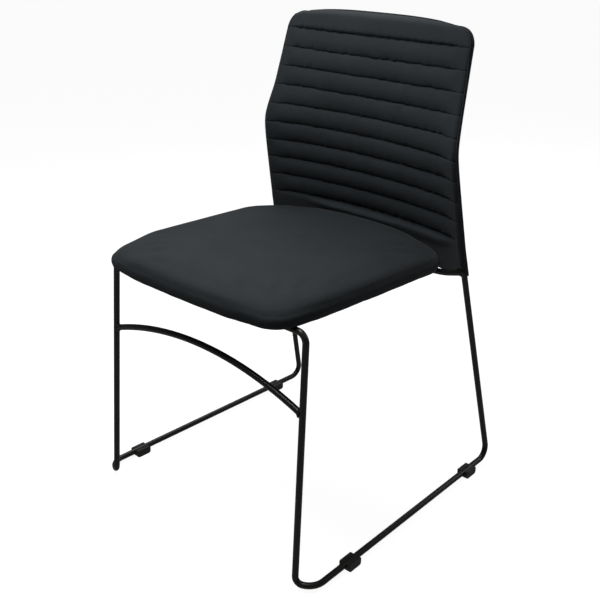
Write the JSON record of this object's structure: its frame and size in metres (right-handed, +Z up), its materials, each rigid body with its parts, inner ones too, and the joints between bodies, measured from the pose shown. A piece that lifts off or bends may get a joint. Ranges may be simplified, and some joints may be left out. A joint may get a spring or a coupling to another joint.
{
  "type": "stacking chair",
  "caption": "Armless stacking chair with a bent rod sled base, padded seat cushion and a high channel-stitched upholstered back.",
  "frame": {"origin": "on the floor, under the middle of the chair's bounding box", "axes": "+Z up, the front of the chair faces -Y, +X is to the right as seen from the front"},
  "size_m": [0.5508, 0.5649, 0.8487],
  "materials": {
    "frame": "satin powder coat",
    "board": "raw plywood",
    "hardware": "zinc plated",
    "foam": "open cell foam, matt",
    "lining_pad": "fibre wadding, matt",
    "lining": "non-woven, matt",
    "upholstery": "fine charcoal upholstery cloth, matt",
    "glide": "moulded, matt"
  },
  "bodies": {
    "root": {"left_frame_rod": "frame", "right_frame_rod": "frame", "front_stretcher": "frame", "rear_cross_rod": "frame", "weld_beads": "frame", "seat_tabs": "frame", "seat_board": "board", "seat_t_nuts": "hardware", "seat_screws": "hardware", "seat_foam": "foam", "seat_cover": "upholstery", "seat_dust_cover": "lining", "back_shell": "board", "back_foam": "foam", "back_wadding": "lining_pad", "back_front_cover": "upholstery", "back_rear_cover": "upholstery", "back_piping": "upholstery", "back_closure": "lining", "front_left_glide": "glide", "front_right_glide": "glide", "rear_left_glide": "glide", "rear_right_glide": "glide"}
  },
  "joints": []
}
